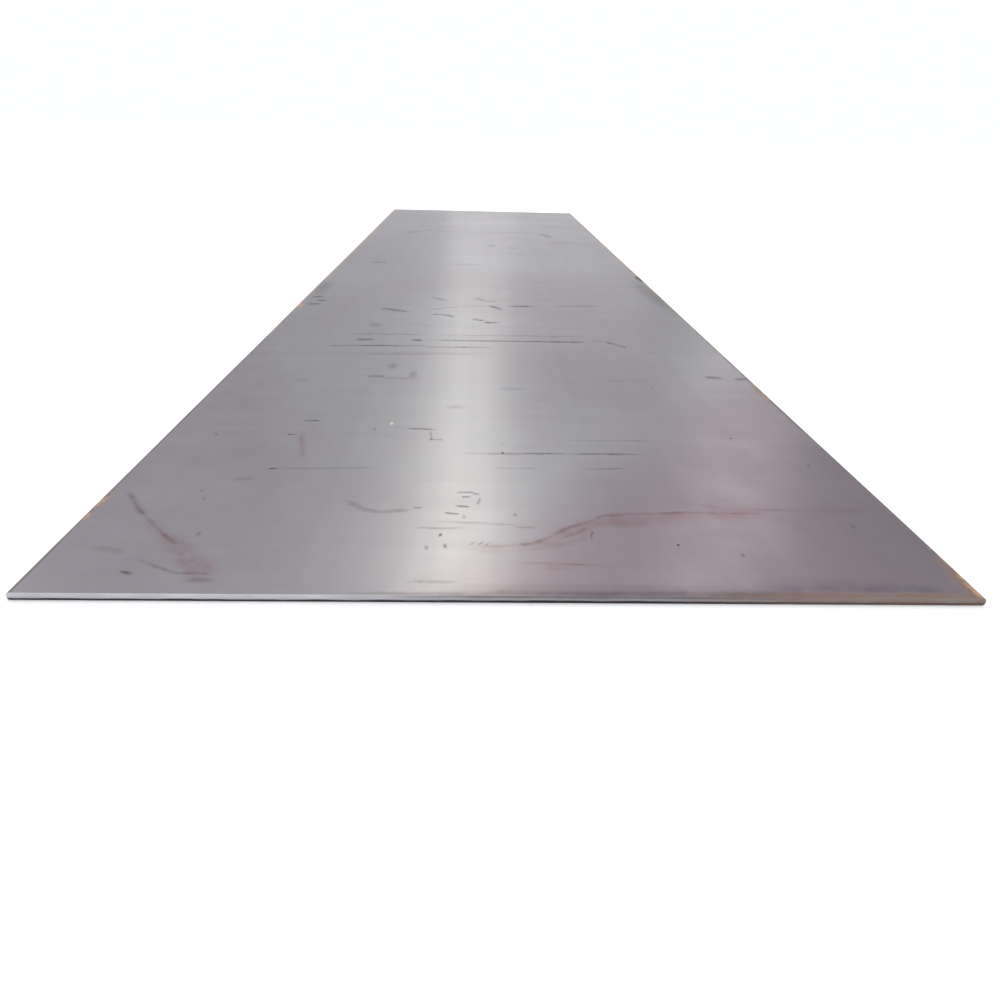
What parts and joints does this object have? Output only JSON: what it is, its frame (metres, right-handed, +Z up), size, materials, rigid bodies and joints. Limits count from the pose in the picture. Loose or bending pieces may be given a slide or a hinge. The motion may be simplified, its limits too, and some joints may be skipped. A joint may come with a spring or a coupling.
{
  "type": "steel plate",
  "caption": "Long flat hot-rolled steel plate with rounded mill edges along its sides and guillotined ends, sold as raw stock to be cut, welded, drilled or laid as a deck.",
  "frame": {"origin": "middle of the underside, on the surface the plate lies on", "axes": "+X across the plate's width, +Y along its length and rolling direction, +Z up out of the top rolled face"},
  "size_m": [1.5, 6, 0.012],
  "materials": {
    "mill_scale_steel": "hot-rolled, grey mill scale with a dull sheen, light rust stains and scratches, bare metal on the cut ends"
  },
  "bodies": {
    "root": {"steel_plate": "mill_scale_steel"}
  },
  "joints": []
}
